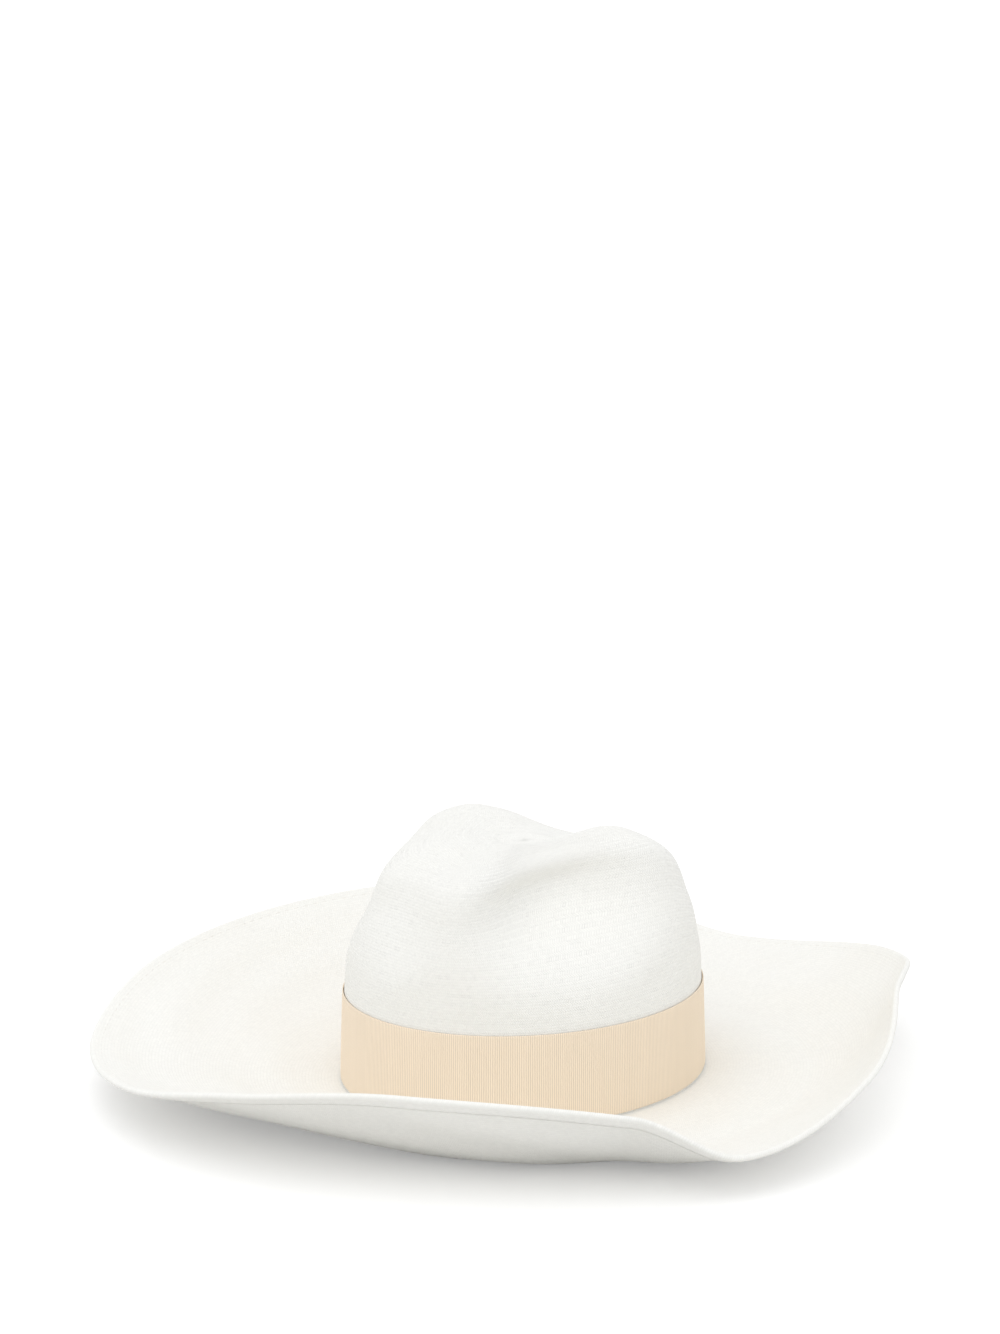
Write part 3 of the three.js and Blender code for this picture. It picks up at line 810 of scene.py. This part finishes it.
def inner_patch(name, start, end, bottom, top, thickness):
    """A small patch on the inside of the sweatband, between two directions and two heights."""
    lengths = np.linspace(0, 1, 25) * np.radians(end - start) * HEAD_HALF_LENGTH
    directions = np.linspace(start, end, 25)
    middle = SWEAT_IN - GAP - thickness / 2

    def section(i, across, out):
        return wall_point(np.full(len(across), directions[i]), bottom + across, middle - out)

    return ribbon(name, top - bottom, thickness, lengths, section, wave=no_ribs)


# ---- camera and studio -------------------------------------------------------
def facing(azimuth, elevation):
    """The unit vector towards an azimuth, counted from the front, and an elevation."""
    a, e = math.radians(azimuth), math.radians(elevation)
    return Vector((math.sin(a) * math.cos(e), -math.cos(a) * math.cos(e), math.sin(e)))


def make_camera():
    data = bpy.data.cameras.new("camera")
    data.lens = LENS
    data.sensor_width = 36
    camera = bpy.data.objects.new("camera", data)
    camera.location = CENTRE + facing(VIEW_AZIMUTH, VIEW_ELEVATION) * VIEW_DISTANCE
    back = facing(VIEW_AZIMUTH + VIEW_PAN, VIEW_ELEVATION + VIEW_TILT)
    roll = Matrix.Rotation(math.radians(VIEW_ROLL), 3, back)
    camera.rotation_euler = (roll @ back.to_track_quat("Z", "Y").to_matrix()).to_euler()
    bpy.context.scene.collection.objects.link(camera)
    bpy.context.scene.camera = camera


def make_studio():
    scene = bpy.context.scene
    scene.view_settings.view_transform = "Standard"
    world = bpy.data.worlds.new("studio")
    scene.world = world
    world.use_nodes = True
    background = world.node_tree.nodes["Background"]
    background.inputs["Color"].default_value = (*SKY, 1)
    path = world.node_tree.nodes.new("ShaderNodeLightPath")
    strength = world.node_tree.nodes.new("ShaderNodeMapRange")
    strength.inputs["To Min"].default_value = 1
    strength.inputs["To Max"].default_value = SKY_SEEN
    world.node_tree.links.new(path.outputs["Is Camera Ray"], strength.inputs["Value"])
    world.node_tree.links.new(strength.outputs["Result"], background.inputs["Strength"])

    bpy.ops.mesh.primitive_plane_add(size=FLOOR_SIZE, location=(0, 0, CENTRE.z - FLOOR_DROP * MM))
    floor = bpy.context.object
    floor.name = "floor"
    floor.data.materials.append(floor_material())

    key = bpy.data.lights.new("key", "AREA")
    key.size = KEY_SIZE
    key.energy = KEY
    lamp = bpy.data.objects.new("key", key)
    lamp.location = CENTRE + Vector(KEY_PLACE)
    lamp.rotation_euler = (lamp.location - CENTRE).to_track_quat("Z", "Y").to_euler()
    scene.collection.objects.link(lamp)


# ---- materials ---------------------------------------------------------------
class Nodes:
    """Adds nodes to one material and joins them up as they are made."""

    def __init__(self, name, roughness, specular=0.25):
        self.material = bpy.data.materials.new(name)
        self.material.use_nodes = True
        self.tree = self.material.node_tree
        self.shader = self.tree.nodes["Principled BSDF"]
        self.set(self.shader.inputs["Roughness"], roughness)
        self.set(self.shader.inputs["Specular IOR Level"], specular)

    def set(self, socket, value):
        if isinstance(value, bpy.types.NodeSocket):
            self.tree.links.new(value, socket)
        else:
            socket.default_value = value

    def node(self, kind, **settings):
        node = self.tree.nodes.new("ShaderNode" + kind)
        for name, value in settings.items():
            setattr(node, name, value)
        return node

    def math(self, operation, a, b=0.0, c=0.0):
        node = self.node("Math", operation=operation)
        for socket, value in zip(node.inputs, (a, b, c)):
            self.set(socket, value)
        return node.outputs[0]

    def pattern(self):
        """The two pattern coordinates of the mesh."""
        split = self.node("SeparateXYZ")
        self.set(split.inputs[0], self.node("UVMap", uv_map="weave").outputs[0])
        return split.outputs[0], split.outputs[1]

    def random(self, a, b):
        """A number from 0 to 1 for each pair of whole numbers."""
        pair = self.node("CombineXYZ")
        self.set(pair.inputs[0], a)
        self.set(pair.inputs[1], b)
        noise = self.node("TexWhiteNoise", noise_dimensions="2D")
        self.set(noise.inputs["Vector"], pair.outputs[0])
        return noise.outputs["Value"]

    def cloud(self, scale, detail=2.0):
        """Soft noise in space, from 0 to 1. The scale is in waves to a metre."""
        noise = self.node("TexNoise")
        self.set(noise.inputs["Vector"], self.node("TexCoord").outputs["Object"])
        self.set(noise.inputs["Scale"], scale)
        self.set(noise.inputs["Detail"], detail)
        return noise.outputs["Fac"]

    def dome(self, t):
        """From 0 at whole numbers to 1 halfway between them, round like a straw."""
        phase = self.math("FRACT", t)
        square = self.math("MULTIPLY", phase, self.math("SUBTRACT", 1.0, phase))
        return self.math("SQRT", self.math("MULTIPLY", square, 4.0))

    def range(self, value, low, high):
        return self.math("MULTIPLY_ADD", value, high - low, low)

    def blend(self, share, a, b):
        mix = self.node("Mix", data_type="RGBA")
        self.set(mix.inputs["Factor"], share)
        self.set(mix.inputs[6], (*a, 1) if isinstance(a, tuple) else a)
        self.set(mix.inputs[7], (*b, 1) if isinstance(b, tuple) else b)
        return mix.outputs[2]

    def paint(self, color, *shades):
        """The colour, darkened by the product of the shades."""
        shade = shades[0]
        for other in shades[1:]:
            shade = self.math("MULTIPLY", shade, other)
        tint = self.node("VectorMath", operation="SCALE")
        self.set(tint.inputs[0], color)
        self.set(tint.inputs["Scale"], shade)
        self.set(self.shader.inputs["Base Color"], tint.outputs[0])

    def bump(self, height, depth):
        """Raises the surface by the height, from 0 to 1, times the depth in millimetres."""
        bump = self.node("Bump")
        self.set(bump.inputs["Distance"], depth * MM)
        self.set(bump.inputs["Height"], height)
        self.set(self.shader.inputs["Normal"], bump.outputs[0])

    def sheen(self, weight, roughness):
        self.set(self.shader.inputs["Sheen Weight"], weight)
        self.set(self.shader.inputs["Sheen Roughness"], roughness)


def floor_material():
    nodes = Nodes("floor", roughness=1, specular=0)
    nodes.shader.inputs["Base Color"].default_value = (*FLOOR, 1)
    nodes.shader.inputs["Emission Color"].default_value = (1, 1, 1, 1)
    seen = nodes.node("LightPath").outputs["Is Camera Ray"]
    nodes.set(nodes.shader.inputs["Emission Strength"], nodes.math("MULTIPLY", seen, FLOOR_GLOW))
    return nodes.material


def straw_material():
    """Rows of slanted straws, leaning one way and the other by turns."""
    nodes = Nodes("straw", roughness=0.68, specular=0.3)
    across, rows = nodes.pattern()
    row = nodes.math("FLOOR", rows)
    along = nodes.math("FRACT", rows)
    lean = nodes.range(nodes.math("MODULO", row, 2.0), 1.0, -1.0)
    straw = nodes.math("MULTIPLY_ADD", along, lean, across)
    arch = nodes.math("SINE", nodes.math("MULTIPLY", along, math.pi))
    ends = nodes.range(nodes.math("SQRT", arch), 0.35, 1.0)
    height = nodes.math("MULTIPLY", nodes.dome(straw), ends)
    tone = nodes.random(nodes.math("FLOOR", straw), row)
    aged = nodes.blend(nodes.cloud(14.0, 3.0), STRAW_LIGHT, STRAW_AGED)
    # the brim was pressed flatter and tighter than the crown: only the crown has open spots in its
    # weave, which get deeper painted shade, and the crown's bump is higher
    crown = nodes.math("LESS_THAN", rows, CROWN_LINE / WEAVE_ROW)
    loose_row = nodes.math("LESS_THAN", nodes.math("MODULO", row, 3.0), 0.5)
    loose = nodes.math("MULTIPLY", loose_row, nodes.math("GREATER_THAN", tone, 0.87))
    open_spot_shade = nodes.math("MULTIPLY", crown, loose)
    depth = nodes.range(open_spot_shade, 0.08, 0.27)
    # painted shade: the colour is darker between the straws and towards their ends, most of all in
    # the crown's open spots
    straw_crevice_shade = nodes.math("MULTIPLY", nodes.math("SUBTRACT", 1.0, height), depth)
    nodes.paint(aged, nodes.math("SUBTRACT", 1.0, straw_crevice_shade), nodes.range(tone, 0.975, 1.015))
    lift = nodes.math("MULTIPLY", height, nodes.range(crown, 0.5, 0.9))
    nodes.bump(lift, 0.2)
    return nodes.material


def grosgrain_material():
    """Fine warp threads that pass over and under the ribs."""
    nodes = Nodes("grosgrain", roughness=0.55, specular=0.3)
    across, along = nodes.pattern()
    rib = nodes.math("MULTIPLY", along, 1 / RIB)
    odd = nodes.math("MULTIPLY", nodes.math("ROUND", rib), 0.5)
    warp = nodes.dome(nodes.math("MULTIPLY_ADD", across, 1 / WARP, odd))
    crest = nodes.math("ABSOLUTE", nodes.math("COSINE", nodes.math("MULTIPLY", rib, math.pi)))
    tone = nodes.random(nodes.math("ROUND", rib), 0.0)
    height = nodes.math("MULTIPLY_ADD", warp, 0.4, nodes.math("MULTIPLY", crest, 0.6))
    color = nodes.blend(nodes.cloud(20.0), RIBBON_LIGHT, RIBBON_DARK)
    # painted shade: the colour is darker in the grooves between the ribs and between the warp
    # threads
    nodes.paint(color, nodes.range(crest, 0.8, 1.08), nodes.range(warp, 0.97, 1.02),
                nodes.range(tone, 0.985, 1.005))
    nodes.bump(height, 0.12)
    nodes.sheen(0.12, 0.4)
    return nodes.material


def cotton_material(name, color, pitch):
    """Plain weave: threads pass over and under each other by turns."""
    nodes = Nodes(name, roughness=0.85, specular=0.15)
    across, along = nodes.pattern()
    u = nodes.math("MULTIPLY", across, 1 / pitch)
    v = nodes.math("MULTIPLY", along, 1 / pitch)
    column, row = nodes.math("FLOOR", u), nodes.math("FLOOR", v)
    cell = nodes.math("MODULO", nodes.math("ADD", column, row), 2.0)
    over = nodes.math("MULTIPLY", nodes.dome(u), nodes.range(nodes.dome(v), 0.5, 1.0))
    under = nodes.math("MULTIPLY", nodes.dome(v), nodes.range(nodes.dome(u), 0.5, 1.0))
    height = nodes.math("ADD", nodes.math("MULTIPLY", over, cell),
                        nodes.math("MULTIPLY", under, nodes.math("SUBTRACT", 1.0, cell)))
    tone = nodes.random(column, row)
    worn = nodes.blend(nodes.cloud(25.0, 3.0), color, tuple(0.95 * part for part in color))
    # painted shade: the colour is darker where the threads dip, between them and under the crossing
    # threads
    nodes.paint(worn, nodes.range(height, 0.82, 1.0), nodes.range(tone, 0.97, 1.02))
    nodes.bump(height, pitch / 4)
    nodes.sheen(0.1, 0.5)
    return nodes.material


def thread_material():
    """Twisted cotton thread."""
    nodes = Nodes("thread", roughness=0.6, specular=0.3)
    color = nodes.blend(nodes.cloud(60.0), THREAD_LIGHT, THREAD_DARK)
    fibres = nodes.cloud(2500.0, 1.0)
    nodes.paint(color, nodes.range(fibres, 0.9, 1.05))
    nodes.bump(fibres, 0.08)
    nodes.sheen(0.1, 0.5)
    return nodes.material


def steel_material():
    """Drawn wire, a little streaked."""
    nodes = Nodes("steel", roughness=0.35, specular=0.5)
    nodes.shader.inputs["Metallic"].default_value = 1
    streaks = nodes.cloud(900.0, 2.0)
    nodes.paint(nodes.blend(streaks, STEEL_LIGHT, STEEL_DARK), nodes.range(streaks, 0.95, 1.0))
    nodes.bump(streaks, 0.01)
    return nodes.material


# ---- the hat -----------------------------------------------------------------
make_camera()
make_studio()
straw = straw_material()
grosgrain = grosgrain_material()
web_cotton = cotton_material("sweatband_cotton", WEB_COLOR, WEB_PITCH)
label_cotton = cotton_material("label_cotton", LABEL_COLOR, LABEL_PITCH)
thread = thread_material()
steel = steel_material()

finish_piece(straw_crown(), straw, "straw_hood")
finish_piece(straw_brim(), straw, "straw_hood")
finish_piece(hem_stitching(), thread, "hem_stitching")
finish_piece(edge_wire(), steel, "brim_edge_wire")

band = finish_piece(hatband(), grosgrain, "hatband")
tails = finish_piece(bow_tails(), grosgrain, "bow_tails")
front_loop, back_loop = (
    finish_piece(bow_loop(name, side), grosgrain, node)
    for name, side, node in [("front_loop_ribbon", -1, "bow_loop_front"),
                             ("back_loop_ribbon", 1, "bow_loop_back")])
knot = finish_piece(bow_knot(), grosgrain, "bow_knot")
for name, distance, node in [
        ("front_tack_threads", TACK_FROM_END - BOW_TAIL, "bow_tack_front"),
        ("back_tack_threads", BOW_TAIL - TACK_FROM_END, "bow_tack_back")]:
    finish_piece(bow_tack(name, distance), thread, node)

sweat = finish_piece(sweatband(), web_cotton, "sweatband")
finish_piece(sweatband_stitching(), thread, "sweatband_stitching")
tape = inner_patch("seam_tape", TAPE_FROM, TAPE_TO, SWEAT_BOTTOM + 5, SWEAT_TOP - 1, TAPE)
finish_piece(tape, web_cotton, "sweatband_seam_tape")
label = inner_patch("blank_label", LABEL_FROM, LABEL_TO, LABEL_BOTTOM, LABEL_TOP, LABEL)
finish_piece(label, label_cotton, "size_label")
